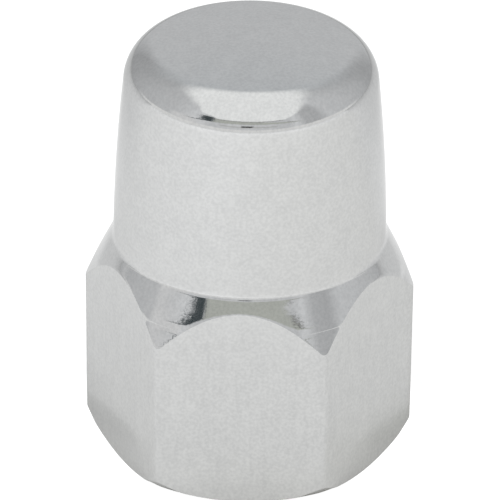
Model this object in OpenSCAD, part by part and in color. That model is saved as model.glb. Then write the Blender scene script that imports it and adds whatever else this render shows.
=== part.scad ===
// Closed-end axle nut, turned from hexagon bar.
// The bearing face lies on the XY plane, the axle enters from below, and the cap points up along +Z.

/* [Hexagon] */
// Wrench size across two opposite flats
across_flats = 15; // [14.5:0.5:19]
// Rounding of the six upright edges
edge_r = 0.5; // [0.2:0.1:1]
// Height at which the shoulder's slope reaches the upright edges
edge_h = 9.4; // [7.5:0.1:10.5]

/* [Foot] */
// Diameter of the flat ring that bears on the frame
bearing_d = 14.7; // [12.5:0.1:14.8]
// Rise of the foot chamfer above the bearing plane, in degrees
foot_angle = 33; // [15:1:45]

/* [Shoulder] */
// Height at which the shoulder's slope reaches the cap
shoulder_h = 11.9; // [11:0.1:14]
// Radius of the shoulder's slightly crowned slope
shoulder_r = 80; // [30:5:200]
// Radius of the hollow between the shoulder and the cap
neck_r = 1; // [0.3:0.1:2]
// Radius at which the shoulder rolls over into the upright edges
roll_r = 5; // [4.5:0.5:7]

/* [Cap] */
// Overall height of the nut
nut_h = 23.3; // [21.5:0.1:27]
// Diameter of the cap where it leaves the shoulder
cap_d = 14.2; // [13:0.1:14.4]
// Inward lean of the cap's side at its foot, in degrees
cap_lean = 1; // [0:0.5:3]
// Radius of the cap's barrel-shaped side
side_r = 100; // [60:5:200]
// Radius of the lip between the side and the crown
lip_r = 2.1; // [1:0.1:3]
// Radius of the shallow crown
crown_r = 28; // [18:1:60]

/* [Threaded hole] */
// Major diameter of the axle thread
thread_d = 10.32; // [8:0.01:10.6]
// Pitch of the axle thread
thread_pitch = 0.977; // [0.7:0.001:1.25]
// Depth of the hole at its full diameter
hole_depth = 17.5; // [12:0.5:18]
// Point angle of the drill that leaves the blind end, in degrees
drill_angle = 118; // [90:1:140]
// How far the countersunk mouth opens beyond the thread
mouth_over = 0.35; // [0.1:0.05:0.8]

/* [Hidden] */

// Arcs that blend into each other overlap by this much, so that they cross
overlap = 0.0005;
// The roll stays this far clear of the upright edges, so that it cuts them and doesn't just touch
roll_clear = 0.02;
// Facets of a full turn, and of the large circles that give the long arcs
turn_fn = 144;
arc_fn = 1440;

flat_r = across_flats / 2;
corner_r = (flat_r - edge_r) / cos(30) + edge_r;
bar_r = flat_r / cos(30) + 1;
bearing_r = bearing_d / 2;
cap_r = cap_d / 2;
mouth_r = thread_d / 2 + mouth_over;
// The tapping drill leaves five eighths of the sharp thread's height
bore_r = thread_d / 2 - 5 / 8 * thread_pitch * cos(30);

// Unit vector from p to q
function toward(p, q) = (q - p) / norm(q - p);

// Centre of the circle of radius r that bulges to the left of the way from p to q
function bulge_centre(p, q, r) =
    let (way = toward(p, q), half = norm(q - p) / 2)
    (p + q) / 2 + sqrt(r * r - half * half) * [way.y, -way.x];

// Point to the left of the way from p to q, at distance a from p and b from q
function meeting_point(p, a, q, b) =
    let (gap = norm(q - p), way = toward(p, q), run = (a * a - b * b + gap * gap) / (2 * gap))
    p + run * way + sqrt(a * a - run * run) * [-way.y, way.x];

// Places in the turned section, as [radius, height]
neck_corner = [cap_r, shoulder_h];
edge_top = [corner_r, edge_h];
side_c = neck_corner - side_r * [cos(cap_lean), sin(cap_lean)];
crown_c = [0, nut_h - crown_r];
lip_c = meeting_point(side_c, side_r - lip_r, crown_c, crown_r - lip_r);
shoulder_c = bulge_centre(neck_corner, edge_top, shoulder_r);
neck_c = meeting_point(side_c, side_r + neck_r, shoulder_c, shoulder_r + neck_r);
roll_x = corner_r + roll_clear - roll_r;
roll_rise = sqrt(pow(shoulder_r - roll_r, 2) - pow(roll_x - shoulder_c.x, 2));
roll_c = [roll_x, shoulder_c.y + roll_rise];

// Hexagon bar with rounded edges, flats facing +Y and -Y
module hexagon_bar() {
    inner_r = (flat_r - edge_r) / cos(30);
    linear_extrude(nut_h + 1)
        union() {
            polygon([for (corner = [0:60:300], side = [-30, 30])
                inner_r * [cos(corner), sin(corner)] + edge_r * [cos(corner + side), sin(corner + side)]]);
            for (corner = [0:60:300])
                rotate(corner)
                    translate([inner_r, 0])
                        circle(edge_r + overlap, $fn = 96);
        }
}

// Half section of the hexagon's length, from the foot chamfer up to the shoulder and its rolled edge
module base_section() {
    chamfer_h = (bar_r - bearing_r) * tan(foot_angle);
    top = shoulder_h + neck_r;
    out_shoulder = 2 * roll_r * toward(shoulder_c, roll_c);
    out_edge = [2 * roll_r, 0];
    difference() {
        intersection() {
            translate(shoulder_c)
                circle(shoulder_r, $fn = arc_fn);
            polygon([[0, 0], [bearing_r, 0], [bar_r, chamfer_h], [bar_r, top], [0, top]]);
        }
        polygon([roll_c, roll_c + out_shoulder, roll_c + out_shoulder + out_edge, roll_c + out_edge]);
    }
    intersection() {
        translate(roll_c)
            circle(roll_r + overlap, $fn = turn_fn);
        translate([0, roll_c.y - roll_r / 2])
            square([bar_r, shoulder_h]);
    }
}

// Half section of the cap: barrel side, rolled lip and shallow crown
module cap_section() {
    out_side = 2 * lip_r * toward(side_c, lip_c);
    out_crown = 2 * lip_r * toward(crown_c, lip_c);
    difference() {
        intersection() {
            translate(side_c)
                circle(side_r, $fn = arc_fn);
            translate(crown_c)
                circle(crown_r, $fn = arc_fn);
            translate([0, edge_h])
                square([bar_r, nut_h]);
        }
        polygon([lip_c, lip_c + out_side, lip_c + out_side + out_crown, lip_c + out_crown]);
    }
    translate(lip_c)
        circle(lip_r + overlap, $fn = turn_fn);
}

// Half section of the whole turned outline, with the neck hollowed between cap and shoulder
module turned_section() {
    neck_root = neck_corner - neck_r * [1, 1];
    neck_side = neck_c - neck_r * toward(side_c, neck_c);
    neck_shoulder = neck_c - neck_r * toward(shoulder_c, neck_c);
    difference() {
        union() {
            base_section();
            cap_section();
            polygon([neck_root, neck_shoulder, neck_c, neck_side]);
        }
        translate(neck_c)
            circle(neck_r + overlap, $fn = turn_fn);
    }
}

// Blind hole at the thread's crests, with a countersunk mouth and a drilled end
module threaded_hole() {
    mouth_h = mouth_r - bore_r;
    tip_h = hole_depth + bore_r / tan(drill_angle / 2);
    rotate_extrude($fn = turn_fn)
        polygon([[0, -1], [mouth_r + 1, -1], [bore_r, mouth_h], [bore_r, hole_depth], [0, tip_h]]);
}

module axle_nut() {
    color("gainsboro")
        difference() {
            intersection() {
                hexagon_bar();
                rotate_extrude($fn = turn_fn)
                    turned_section();
            }
            threaded_hole();
        }
}

axle_nut();
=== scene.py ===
# Closed-end axle nut: a hexagon nut with a tall turned cap, tapped from below, polished and chrome plated.
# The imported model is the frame: the bearing face lies on z = 0, flats face front and back, the cap points up.

import math

import bmesh
import bpy
from mathutils import Matrix, Vector
from mathutils.geometry import intersect_sphere_sphere_2d


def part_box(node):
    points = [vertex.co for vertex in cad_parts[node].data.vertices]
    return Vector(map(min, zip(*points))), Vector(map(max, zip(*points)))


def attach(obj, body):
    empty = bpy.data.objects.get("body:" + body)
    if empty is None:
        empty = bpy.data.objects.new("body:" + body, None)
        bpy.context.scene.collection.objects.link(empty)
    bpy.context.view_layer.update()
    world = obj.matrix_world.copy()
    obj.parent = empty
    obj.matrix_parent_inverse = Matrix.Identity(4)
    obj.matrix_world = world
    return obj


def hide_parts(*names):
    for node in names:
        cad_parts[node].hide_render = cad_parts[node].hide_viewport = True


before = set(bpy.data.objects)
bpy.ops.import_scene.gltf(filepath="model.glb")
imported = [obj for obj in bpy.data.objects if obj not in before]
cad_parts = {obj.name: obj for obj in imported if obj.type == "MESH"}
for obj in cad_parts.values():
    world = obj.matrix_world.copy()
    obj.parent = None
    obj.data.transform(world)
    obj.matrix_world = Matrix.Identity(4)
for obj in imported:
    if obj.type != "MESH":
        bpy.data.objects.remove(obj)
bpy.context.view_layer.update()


# The turned blank: one piece of steel bar, turned to a barrel-sided cap with a rolled lip and a crowned end.
# A small hollow leads from the cap out to a sloping shoulder, which drops at a narrow land to the upright edges,
# and a chamfer leads back to the bearing face. The outline is one line of arcs, in millimetres, spun round.
MM = 0.001
node_low, node_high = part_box("axle_nut")
nut_h = (node_high.z - node_low.z) / MM
flat_r = (node_high.y - node_low.y) / MM / 2
half_flat = math.radians(30)
edge_r = 0.5
corner_r = (flat_r - edge_r) / math.cos(half_flat) + edge_r
corner_half = half_flat - math.atan((flat_r - edge_r) * math.tan(half_flat) / flat_r)
edge_h = 9.05
bearing_r = 14.7 / 2
foot_angle = math.radians(33)
curl_r = 8.09
curl_rise = 0.25
shoulder_h = 12.1
shoulder_r = 80
neck_r = 1
land_r = 8.04
land_drop = 0.04
land_rise = 0.012
facet_h = 9.1
cap_r = 14.2 / 2
cap_lean = math.radians(1)
side_r = 100
lip_r = 2.1
crown_r = 28
thread_r = 10.32 / 2
mouth_r = thread_r + 0.35
bearing_land = 0.2
merge_gap = 0.0005

neck_corner = Vector((cap_r, shoulder_h))
edge_top = Vector((corner_r, edge_h))
side_c = neck_corner - side_r * Vector((math.cos(cap_lean), math.sin(cap_lean)))
crown_c = Vector((0, nut_h - crown_r))
lip_c = max(
    intersect_sphere_sphere_2d(side_c, side_r - lip_r, crown_c, crown_r - lip_r),
    key=lambda point: point.y,
)
shoulder_c = min(
    intersect_sphere_sphere_2d(neck_corner, shoulder_r, edge_top, shoulder_r),
    key=lambda point: point.x,
)
neck_c = max(
    intersect_sphere_sphere_2d(side_c, side_r + neck_r, shoulder_c, shoulder_r + neck_r),
    key=lambda point: point.y,
)
land_top = Vector((land_r, shoulder_c.y + math.sqrt(shoulder_r ** 2 - (land_r - shoulder_c.x) ** 2)))
facet_top = land_top + Vector((land_rise, -land_drop))


def last_vert(drawn):
    return next(part for part in drawn["geom_last"] if isinstance(part, bmesh.types.BMVert))


def draw_arc(bm, tip, centre, toward, steps):
    """Draws the outline on from its tip, round centre, until it points the way of toward."""
    start = math.atan2(tip.co.z - centre.y, tip.co.x - centre.x)
    swing = math.atan2(toward.y, toward.x) - start
    swing = (swing + math.pi) % math.tau - math.pi
    middle = (centre.x, 0, centre.y)
    return last_vert(bmesh.ops.spin(bm, geom=[tip], cent=middle, axis=(0, -1, 0), angle=swing, steps=steps))


def draw_straight(bm, tip, end, steps):
    """Draws the outline on from its tip in a straight run."""
    step = (Vector((end[0], 0, end[1])) - tip.co) / steps
    return last_vert(bmesh.ops.spin(bm, geom=[tip], axis=(0, 0, 1), dvec=step, angle=0, steps=steps))


def foot_height(radius):
    """The height of the turned foot at a radius, its chamfer curling up at the upright edges."""
    curl = max(0, radius - curl_r) / (corner_r - curl_r)
    return (radius - bearing_r) * math.tan(foot_angle) + curl_rise * curl


nut = bmesh.new()
tip = nut.verts.new((0, 0, nut_h))
tip = draw_arc(nut, tip, crown_c, lip_c - crown_c, steps=14)
tip = draw_arc(nut, tip, lip_c, lip_c - side_c, steps=20)
tip = draw_arc(nut, tip, side_c, neck_c - side_c, steps=16)
tip = draw_arc(nut, tip, neck_c, shoulder_c - neck_c, steps=10)
neck_foot_r = tip.co.x
tip = draw_arc(nut, tip, shoulder_c, land_top - shoulder_c, steps=5)
tip = draw_straight(nut, tip, facet_top, steps=2)
tip = draw_straight(nut, tip, (corner_r, facet_h), steps=5)
slope = [(vert.co.x, vert.co.z) for vert in nut.verts if vert.co.x > neck_foot_r - merge_gap]
tip = draw_straight(nut, tip, (corner_r, foot_height(corner_r)), steps=7)
tip = draw_straight(nut, tip, (curl_r, foot_height(curl_r)), steps=1)
tip = draw_straight(nut, tip, (bearing_r, 0), steps=1)
tip = draw_straight(nut, tip, (mouth_r + bearing_land, 0), steps=2)

outline = nut.verts[:] + nut.edges[:]
bmesh.ops.rotate(nut, verts=nut.verts, cent=(0, 0, 0), matrix=Matrix.Rotation(-corner_half, 3, "Z"))
for side in range(6):
    for sweep, steps in ((2 * corner_half, 8), (2 * half_flat - 2 * corner_half, 40)):
        spun = bmesh.ops.spin(nut, geom=outline, axis=(0, 0, 1), angle=sweep, steps=steps)
        outline = spun["geom_last"]
bmesh.ops.remove_doubles(nut, verts=nut.verts, dist=merge_gap)


# The hexagon: the six flats of the bar, which the turned shoulder and foot meet in scalloped edges.
# Each ring of the blank is drawn in to the flats, the upright corners keep a small round,
# and polishing has broken the edges where the flats meet the shoulder and the foot.
edge_break = 0.07
foot_break = 0.05
bearing_break = 0.05
near = 0.001


def hexagon_reach(turn):
    """The rounded hexagon's radius in a direction, with corners on the X axis."""
    from_corner = (turn + half_flat) % (2 * half_flat) - half_flat
    if abs(from_corner) < corner_half:
        inner_r = corner_r - edge_r
        off_centre = inner_r * math.sin(from_corner)
        return inner_r * math.cos(from_corner) + math.sqrt(edge_r ** 2 - off_centre ** 2)
    return flat_r / math.cos(half_flat - abs(from_corner))


def shoulder_height(radius):
    """The height of the turned slope at a radius, between the places drawn for the blank."""
    for (inner_r, inner_h), (outer_r, outer_h) in zip(slope, slope[1:]):
        if radius <= outer_r:
            break
    share = (radius - inner_r) / (outer_r - inner_r)
    return inner_h + share * (outer_h - inner_h)


def ring_edges(height, radius):
    """The edges of a ring whose height and radius follow from its direction."""
    ring = set()
    for vert in nut.verts:
        turn = math.atan2(vert.co.y, vert.co.x)
        if abs(vert.co.z - height(turn)) < near and abs(vert.co.xy.length - radius(turn)) < near:
            ring.add(vert)
    return [edge for edge in nut.edges if all(vert in ring for vert in edge.verts)]


foot_top = foot_height(corner_r)
for vert in nut.verts:
    blank_r = vert.co.xy.length
    if blank_r < neck_foot_r + near or blank_r < bearing_r + near and vert.co.z < near:
        continue
    reach = hexagon_reach(math.atan2(vert.co.y, vert.co.x))
    if vert.co.z > facet_h - near:
        if blank_r < land_r + near:
            share = (blank_r - neck_foot_r) / (land_r - neck_foot_r)
            radius = neck_foot_r + share * (min(land_r, reach) - neck_foot_r)
        else:
            radius = min(blank_r, reach)
        height = shoulder_height(radius)
    elif vert.co.z < foot_top - near:
        share = (blank_r - bearing_r) / (corner_r - bearing_r)
        radius = bearing_r + share * (reach - bearing_r)
        height = foot_height(radius)
    else:
        share = (vert.co.z - foot_top) / (facet_h - foot_top)
        radius = reach
        height = foot_height(reach) + share * (shoulder_height(reach) - foot_height(reach))
    vert.co = (*(vert.co.xy * radius / blank_r), height)

bmesh.ops.remove_doubles(nut, verts=nut.verts, dist=merge_gap)
for height, radius, offset in (
    (lambda turn: shoulder_height(hexagon_reach(turn)), hexagon_reach, edge_break),
    (lambda turn: foot_height(hexagon_reach(turn)), hexagon_reach, foot_break),
    (lambda turn: 0, lambda turn: bearing_r, bearing_break),
):
    bmesh.ops.bevel(
        nut, geom=ring_edges(height, radius), offset=offset, offset_type="OFFSET", affect="EDGES", segments=3,
        profile=0.5, material=-1, clamp_overlap=True, loop_slide=True,
    )


# The threaded hole: drilled blind from below, countersunk at its mouth and tapped with a right-hand thread.
# The tap's own taper makes the thread run out before the drilled end, a plain cone.
# One tooth is drawn in section and spun upward with the lead of the thread.
thread_pitch = 0.977
flank_angle = math.radians(30)
bore_r = thread_r - 5 / 8 * thread_pitch * math.cos(flank_angle)
root_flat = thread_pitch / 8
crest_flat = thread_pitch / 4
flank = 5 / 16 * thread_pitch
thread_top = 16.2
runout = 1.6
hole_depth = 17.5
drill_angle = math.radians(118)
turn_steps = 72
turns_below = 2
turns = math.ceil(thread_top / thread_pitch) + turns_below + 1
cut_gap = 0.0001

hole = bmesh.new()
tooth_foot = -turns_below * thread_pitch
tip = hole.verts.new((thread_r, 0, tooth_foot))
tip = draw_straight(hole, tip, (thread_r, tooth_foot + root_flat), steps=1)
tip = draw_straight(hole, tip, (bore_r, tip.co.z + flank), steps=4)
tip = draw_straight(hole, tip, (bore_r, tip.co.z + crest_flat), steps=2)
tip = draw_straight(hole, tip, (thread_r, tip.co.z + flank), steps=4)
bmesh.ops.spin(
    hole, geom=hole.verts[:] + hole.edges[:], axis=(0, 0, 1), dvec=(0, 0, thread_pitch / turn_steps),
    angle=math.tau * turns, steps=turn_steps * turns,
)
bmesh.ops.remove_doubles(hole, verts=hole.verts, dist=merge_gap)
for vert in hole.verts:
    tapped_r = vert.co.xy.length
    depth_left = min(1, max(0, (thread_top - vert.co.z) / runout))
    cut_r = bore_r + (tapped_r - bore_r) * depth_left
    cut_r = max(cut_r, mouth_r - vert.co.z)
    vert.co.xy *= cut_r / tapped_r


def cut_ring(height, radius, **side):
    """Cuts the hole off level and trues the cut edge to a circle."""
    geom = hole.verts[:] + hole.edges[:] + hole.faces[:]
    cut = bmesh.ops.bisect_plane(
        hole, geom=geom, dist=cut_gap, plane_co=(0, 0, height), plane_no=(0, 0, 1), **side
    )["geom_cut"]
    for vert in cut:
        if isinstance(vert, bmesh.types.BMVert):
            vert.co.xy *= radius / vert.co.xy.length
    return [edge for edge in cut if isinstance(edge, bmesh.types.BMEdge)]


cut_ring(0, mouth_r, clear_inner=True)
blind_ring = cut_ring(thread_top, bore_r, clear_outer=True)
drill_tip = hole_depth + bore_r / math.tan(drill_angle / 2)
for rise in (hole_depth - thread_top, drill_tip - hole_depth):
    drawn = bmesh.ops.extrude_edge_only(hole, edges=blind_ring)["geom"]
    blind_ring = [part for part in drawn if isinstance(part, bmesh.types.BMEdge)]
    blind_verts = [part for part in drawn if isinstance(part, bmesh.types.BMVert)]
    bmesh.ops.translate(hole, verts=blind_verts, vec=(0, 0, rise))
bmesh.ops.pointmerge(hole, verts=blind_verts, merge_co=(0, 0, drill_tip))
for face in hole.faces:
    face.material_index = 1

hole_mesh = bpy.data.meshes.new("tapped_hole")
hole.to_mesh(hole_mesh)
nut.from_mesh(hole_mesh)
bpy.data.meshes.remove(hole_mesh)
bmesh.ops.bridge_loops(nut, edges=[edge for edge in nut.edges if edge.is_boundary])
bmesh.ops.recalc_face_normals(nut, faces=nut.faces)
bmesh.ops.scale(nut, verts=nut.verts, vec=(MM, MM, MM))

sharp_angle = math.radians(30)
nut_mesh = bpy.data.meshes.new("axle_nut_plated")
nut.to_mesh(nut_mesh)
nut_mesh.shade_smooth()
nut_mesh.set_sharp_from_angle(angle=sharp_angle)
axle_nut = bpy.data.objects.new("axle_nut_plated", nut_mesh)
bpy.context.collection.objects.link(axle_nut)
even_normals = axle_nut.modifiers.new("even_normals", "WEIGHTED_NORMAL")
even_normals.keep_sharp = True


# The finish: the nut is buffed bright all over and plated with nickel and chrome, which leaves a faint ripple
# and fine polishing marks. The plate hardly reaches into the tapped hole, which stays dull grey.
class Signal:
    """A socket of a node tree, so that sums on it are written as plain expressions."""

    def __init__(self, tree, made=None, output=0):
        self.tree = tree
        self.made = made
        self.output = output

    def out(self, output):
        return Signal(self.tree, self.made, output)

    def node(self, kind, settings=None, inputs=None, output=0):
        made = self.tree.nodes.new(kind)
        for name, value in (settings or {}).items():
            if name == "stops":
                stops = made.color_ramp.elements
                stops.remove(stops[1])
                stops[0].position, stops[0].color = value[0]
                for place, colour in value[1:]:
                    stops.new(place).color = colour
            else:
                setattr(made, name, value)
        for name, value in (inputs or {}).items():
            if isinstance(value, Signal):
                self.tree.links.new(value.made.outputs[value.output], made.inputs[name])
            else:
                made.inputs[name].default_value = value
        return Signal(self.tree, made, output)

    def maths(self, operation, first, second=0.0):
        return self.node("ShaderNodeMath", {"operation": operation}, {0: first, 1: second})

    def __add__(self, other):
        return self.maths("ADD", self, other)

    def __sub__(self, other):
        return self.maths("SUBTRACT", self, other)

    def __rsub__(self, other):
        return self.maths("SUBTRACT", other, self)

    def __mul__(self, other):
        return self.maths("MULTIPLY", self, other)

    def __truediv__(self, other):
        return self.maths("DIVIDE", self, other)

    __radd__ = __add__
    __rmul__ = __mul__

    def between(self, low, high):
        """Rises smoothly from 0 at low to 1 at high."""
        return self.node(
            "ShaderNodeMapRange", {"interpolation_type": "SMOOTHSTEP"},
            {"Value": self, "From Min": low, "From Max": high},
        )

    def within(self, low, high, soft):
        """Is 1 from low to high and 0 beyond, with soft ends."""
        return self.between(low - soft, low + soft) - self.between(high - soft, high + soft)

    def blend(self, first, second):
        """Mixes two colours, this signal being the share of the second."""
        return self.node("ShaderNodeMix", {"data_type": "RGBA"}, {0: self, 6: first, 7: second}, output=2)


def clear_nodes(owner):
    """Clears the nodes of a material or a world, and gives the signal that its new ones start from."""
    owner.use_nodes = True
    owner.node_tree.nodes.clear()
    return Signal(owner.node_tree)


def grey(level):
    return (level, level, level, 1)


plate_tint = (0.66, 0.663, 0.663, 1)
plate_haze = (0.56, 0.563, 0.566, 1)
plate_edge = grey(0.85)
plate_relief = 0.003 * MM
chrome = bpy.data.materials.new("polished_chrome")
paint = clear_nodes(chrome)
place = paint.node("ShaderNodeTexCoord", output="Object")
drawn_out = paint.node(
    "ShaderNodeMapping", {"vector_type": "POINT"}, {"Vector": place, "Scale": (1, 1, 0.06)}
)
ripple = paint.node("ShaderNodeTexNoise", {}, {"Vector": place, "Scale": 1100, "Detail": 3})
grain = paint.node("ShaderNodeTexNoise", {}, {"Vector": place, "Scale": 6500, "Detail": 4})
streak = paint.node("ShaderNodeTexNoise", {}, {"Vector": drawn_out, "Scale": 4500, "Detail": 3})
height_up = paint.node("ShaderNodeSeparateXYZ", {}, {0: place}).out("Z")
on_flats = 1 - height_up.between(8.5 * MM, 10.5 * MM)
haze = (
    0.65 * grain.between(0.3, 0.7)
    + 0.22 * ripple.between(0.3, 0.7)
    + 0.24 * on_flats * streak.between(0.4, 0.8)
)
relief = paint.node("ShaderNodeBump", {}, {
    "Strength": 1,
    "Distance": plate_relief,
    "Height": ripple * 0.6 + grain * 0.35 + streak * on_flats * 0.15,
})
surface = paint.node("ShaderNodeBsdfPrincipled", {}, {
    "Base Color": haze.blend(plate_tint, plate_haze),
    "Metallic": 1,
    "Roughness": 0.03 + 0.04 * haze,
    "Specular Tint": plate_edge,
    "Normal": relief,
})
paint.node("ShaderNodeOutputMaterial", {}, {"Surface": surface})

steel_light = grey(0.42)
steel_dark = (0.30, 0.30, 0.31, 1)
steel_relief = 0.004 * MM
tapped_steel = bpy.data.materials.new("tapped_steel")
paint = clear_nodes(tapped_steel)
place = paint.node("ShaderNodeTexCoord", output="Object")
grain = paint.node("ShaderNodeTexNoise", {}, {"Vector": place, "Scale": 4000, "Detail": 4})
relief = paint.node("ShaderNodeBump", {}, {"Strength": 1, "Distance": steel_relief, "Height": grain})
surface = paint.node("ShaderNodeBsdfPrincipled", {}, {
    "Base Color": grain.between(0.3, 0.7).blend(steel_light, steel_dark),
    "Metallic": 1,
    "Roughness": 0.25 + 0.2 * grain,
    "Normal": relief,
})
paint.node("ShaderNodeOutputMaterial", {}, {"Surface": surface})

nut_mesh.materials.append(chrome)
nut_mesh.materials.append(tapped_steel)
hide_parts("axle_nut")
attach(axle_nut, "root")


# The floor: a sheet of pale matt card laid on the table, open only under the foot of the nut.
# Its emission paints light and shade on it: a glow, warmer and dimmer to the right and dimmer far behind, a
# painted shadow of the nut beside the foot and painted shade behind it. The plate mirrors that painted light,
# while for the lens the card is painted nearly white all round.
floor_reach = 800 * MM
open_r = 6 * MM
card = grey(0.60)
card_behind = grey(0.44)
floor_shape = bmesh.new()
bmesh.ops.create_circle(floor_shape, segments=96, radius=open_r)
drawn = bmesh.ops.extrude_edge_only(floor_shape, edges=floor_shape.edges[:])["geom"]
outer = [part for part in drawn if isinstance(part, bmesh.types.BMVert)]
bmesh.ops.scale(floor_shape, verts=outer, vec=(floor_reach / open_r, floor_reach / open_r, 1))
for face in floor_shape.faces:
    if face.normal.z < 0:
        face.normal_flip()
floor_mesh = bpy.data.meshes.new("floor")
floor_shape.to_mesh(floor_mesh)
floor = bpy.data.objects.new("floor", floor_mesh)
bpy.context.collection.objects.link(floor)

matt = bpy.data.materials.new("matt_floor")
paint = clear_nodes(matt)
place = paint.node("ShaderNodeTexCoord", output="Object")
across = paint.node("ShaderNodeSeparateXYZ", {}, {0: place})
to_right = across.out("X")
to_back = across.out("Y")
beside = paint.maths("ABSOLUTE", to_right)
from_nut = paint.node("ShaderNodeVectorMath", {"operation": "LENGTH"}, {0: place}, output="Value")
right_of_foot = to_right.between(-10 * MM, 10 * MM)
far_back = to_back.between(100 * MM, 400 * MM)

# Painted light in the card's emission, mirrored by the plate: brighter on the left and near the foot, dimmer and
# warmer to the right.
near_light = to_right.between(-30 * MM, 30 * MM).blend((0.22, 0.22, 0.215, 1), (0.168, 0.165, 0.152, 1))
near_light = to_back.between(10 * MM, 30 * MM).blend(near_light, grey(0.28))
foot_light = right_of_foot.blend((0.24, 0.24, 0.23, 1), (0.175, 0.172, 0.15, 1))
near_light = from_nut.between(9 * MM, 14 * MM).blend(foot_light, near_light)
# Painted shadow of the nut on the card beside the foot, its edge reaching further out toward the back.
shade_near = right_of_foot.blend((0.28, 0.28, 0.27, 1), (0.24, 0.237, 0.215, 1))
shade_far = right_of_foot.blend((0.145, 0.145, 0.135, 1), (0.125, 0.123, 0.10, 1))
foot_shade = from_nut.between(7.8 * MM, 9.6 * MM).blend(shade_near, shade_far)
shade_end = (from_nut - 0.4 * to_back).between(10.2 * MM, 10.9 * MM)
in_shade = beside.between(5 * MM, 7 * MM) * (1 - shade_end)
near_light = in_shade.blend(near_light, foot_shade)
# Painted falloff: the glow dims far from the nut and far behind it.
far_light = far_back.blend(grey(0.40), grey(0.16))
painted_light = from_nut.between(60 * MM, 300 * MM).blend(near_light, far_light)
# Painted shade on the card beside and behind the nut.
behind = beside.between(10 * MM, 30 * MM) * to_back.between(0, 30 * MM) * from_nut.between(31 * MM, 52 * MM)
painted_light = behind.blend(painted_light, grey(0.12))
# Painted light for the lens only: it whitens the card, most of all under the foot, where the contact shade would
# show.
seen_light = far_back.blend(grey(0.5), grey(0.65))
seen_light = from_nut.between(8.6 * MM, 10.5 * MM).blend(grey(0.95), seen_light)

seen = paint.node("ShaderNodeLightPath", output="Is Camera Ray")
# The card's base colour is painted darker far behind, a painted falloff of light.
board = paint.node("ShaderNodeBsdfPrincipled", {}, {
    "Base Color": far_back.blend(card, card_behind),
    "Roughness": 1,
    "Specular IOR Level": 0,
    "Emission Color": seen.blend(painted_light, seen_light),
    "Emission Strength": 1,
})
clear = paint.node("ShaderNodeBsdfTransparent")
underside = paint.node("ShaderNodeNewGeometry", output="Backfacing")
surface = paint.node("ShaderNodeMixShader", {}, {0: underside, 1: board, 2: clear})
paint.node("ShaderNodeOutputMaterial", {}, {"Surface": surface})
floor_mesh.materials.append(matt)


# The light tent: white cloth hung round the table, lit brightly overhead and grey at the sides and the back.
# Its lit part hangs lowest in front, where a frayed grey hood surrounds the lens, with a dark stand at its left.
# The nut mirrors them all, placed by degrees of bearing and height, and to the lens the tent is plain white.
tent_strength = 1.025
wall_cool = 1.012
lit_cloth = (1.09, 1.1, 1.09, 1)
back_cloth = (0.645, 0.665, 0.68, 1)
hood_cloth = (0.57, 0.585, 0.54, 1)
hood_middle = 3
hood_h = 23.57
hood_sag = 0.00198
stand_black = (0.06, 0.075, 0.08, 1)
stand_worn = (0.22, 0.24, 0.25, 1)
tent = bpy.data.worlds.new("light_tent")
paint = clear_nodes(tent)
way = paint.node("ShaderNodeTexCoord", output="Generated")
ray = paint.node("ShaderNodeSeparateXYZ", {}, {0: way})
lift = paint.maths("ARCSINE", ray.out("Z")) * math.degrees(1)
bearing = paint.maths("ARCTAN2", ray.out("X"), ray.out("Y") * -1) * math.degrees(1)
aside = paint.maths("ABSOLUTE", bearing)


def by_bearing(cool, marks):
    """A ramp over the bearing, 0 being the front and 90 the right, from marks of (degrees, value)."""
    stops = [
        ((degrees + 180) / 360, (value / cool, value, value * cool, 1))
        for degrees, value in marks
    ]
    return paint.node("ShaderNodeValToRGB", {"stops": stops}, {"Fac": bearing / 360 + 0.5})


def patch(left, right, low, high, soft, stray=0.0):
    """A patch of the tent between two bearings and two heights, its edges straying."""
    return (bearing + stray).within(left, right, soft) * (lift + stray).within(low, high, soft)


walls = by_bearing(wall_cool, (
    (-180, 0.715), (-160, 0.71), (-146, 0.48), (-132, 0.51), (-105, 0.63), (-75, 0.69), (-62, 0.74),
    (-46, 0.86), (-33, 0.74), (0, 0.80), (36, 0.72), (44, 0.85), (52, 0.61), (64, 0.565),
    (75, 0.76), (95, 0.71), (120, 0.61), (137, 0.51), (147, 0.53), (160, 0.71), (180, 0.715),
))
hem = 90 * by_bearing(1, (
    (-180, 0.69), (-140, 0.66), (-100, 0.635), (-80, 0.62), (-65, 0.565), (-55, 0.52), (-47, 0.41),
    (-42, 0.38), (-33, 0.36), (-29, 0.308), (35, 0.308), (42, 0.36), (48, 0.41), (57, 0.50),
    (66, 0.565), (75, 0.63), (88, 0.69), (130, 0.715), (180, 0.69),
))
hem_soft = 1 + 6 * aside.between(40, 70)
lit = lift.between(hem - hem_soft, hem + hem_soft)
behind = aside.between(110, 150) * lift.between(22, 58)
table_rim = 4.5 - 2.5 * aside.between(70, 100)
table_edge = (1 - aside.between(95, 115)) * (table_rim - lift).between(-1, 1)

torn = paint.node("ShaderNodeMapping", {"vector_type": "POINT"}, {"Vector": way, "Scale": (1, 1, 8)})
fray = paint.node("ShaderNodeTexNoise", {}, {"Vector": torn, "Scale": 34, "Detail": 3}) - 0.5
off_lens = bearing - hood_middle
drop = hood_h - hood_sag * off_lens * off_lens - lift
hood_right = bearing - 6 * drop
hood = bearing.between(-32, -30) * (1 - hood_right.between(27, 29))
hood = hood * (1 - drop.between(3.2, 4.8)) * (1 - lift.between(27.2, 28.8))
hood_marks = (hood_right + 16 * fray).within(26, 29.5, 0.5) * drop.within(1.1, 2.9, 0.2)

waist = paint.maths("ABSOLUTE", paint.maths("MAXIMUM", drop, 0.1) - 0.7)
stand_left = bearing + 8 * waist + 26 * fray
stand_right = bearing + 16 * fray
stand = stand_left.between(-39.3, -37.7) - stand_right.between(-31.3, -29.7)
stand = stand * (1 - drop.between(2.9, 3.5)) * (1 - lift.between(29, 31))

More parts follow.
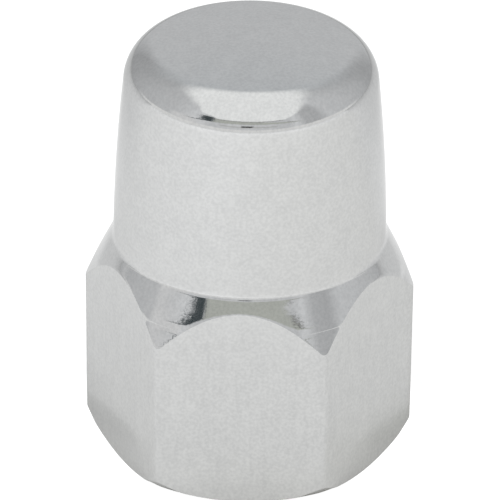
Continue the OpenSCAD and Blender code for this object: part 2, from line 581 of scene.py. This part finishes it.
glow = walls
for hung, colour in (
    (hood, hood_cloth),
    (patch(-28, 33, 26.2, 29, 0.5, stray=5 * fray), (0.36, 0.36, 0.35, 1)),
    (hood_marks, (0.2, 0.2, 0.19, 1)),
    (patch(-70, -46, 4, 15, 3), grey(0.84)),
    (patch(-24, 26, 10.5, 13.5, 1), (0.62, 0.62, 0.61, 1)),
    (patch(-5, 5, 11, 15, 1, stray=4 * fray), grey(0.1)),
    (stand, fray.between(0.02, 0.2).blend(stand_black, stand_worn)),
    (behind, back_cloth),
    (lit, lit_cloth),
    (table_edge, (0.93, 0.93, 0.92, 1)),
):
    glow = hung.blend(glow, colour)
seen = paint.node("ShaderNodeLightPath", output="Is Camera Ray")
backdrop = paint.node("ShaderNodeBackground", {}, {
    "Color": seen.blend(glow, grey(1)),
    "Strength": tent_strength,
})
paint.node("ShaderNodeOutputWorld", {}, {"Surface": backdrop})
bpy.context.scene.world = tent


# The lamps: two small round soft lamps, one on either side above the lens, both turned to the foot of the nut.
# They light the card in front and throw the nut's soft shade behind it. The plate doesn't mirror them.
lamp_size = 60 * MM
lamp_stand = Vector((0, -190 * MM, 230 * MM))
for name, turn, energy in (("soft_left", -38, 0.31), ("soft_right", 38, 0.26)):
    lamp_data = bpy.data.lights.new(name, "AREA")
    lamp_data.shape = "DISK"
    lamp_data.size = lamp_size
    lamp_data.energy = energy
    lamp = bpy.data.objects.new(name, lamp_data)
    lamp_place = Matrix.Rotation(math.radians(turn), 3, "Z") @ lamp_stand
    lamp_aim = lamp_place.to_track_quat("Z", "Y").to_matrix().to_4x4()
    lamp.matrix_world = Matrix.Translation(lamp_place) @ lamp_aim
    lamp.visible_glossy = False
    lamp.visible_camera = False
    bpy.context.collection.objects.link(lamp)


# The camera: it stands close in front of the nut and a little to the right, with a long lens,
# and looks down on it at the photograph's angle.
view_turn = math.radians(3.07)
view_rise = math.radians(29.61)
view_roll = math.radians(0.563)
view_reach = 0.24082
view_aim = Vector((0.00002, 0, 0.01085))
camera_data = bpy.data.cameras.new("camera")
camera_data.sensor_width = 36
camera_data.lens = 333.3
camera_data.clip_start = 10 * MM
camera = bpy.data.objects.new("camera", camera_data)
toward_lens = Vector((
    math.sin(view_turn) * math.cos(view_rise),
    -math.cos(view_turn) * math.cos(view_rise),
    math.sin(view_rise),
))
view_place = Vector((0, 0, nut_h * MM / 2)) + view_reach * toward_lens
gaze = (view_aim - view_place).to_track_quat("-Z", "Y").to_matrix().to_4x4()
camera.matrix_world = Matrix.Translation(view_place) @ gaze @ Matrix.Rotation(view_roll, 4, "Z")
bpy.context.collection.objects.link(camera)
bpy.context.scene.camera = camera
bpy.context.scene.view_settings.view_transform = "Standard"
bpy.context.scene.cycles.caustics_reflective = False
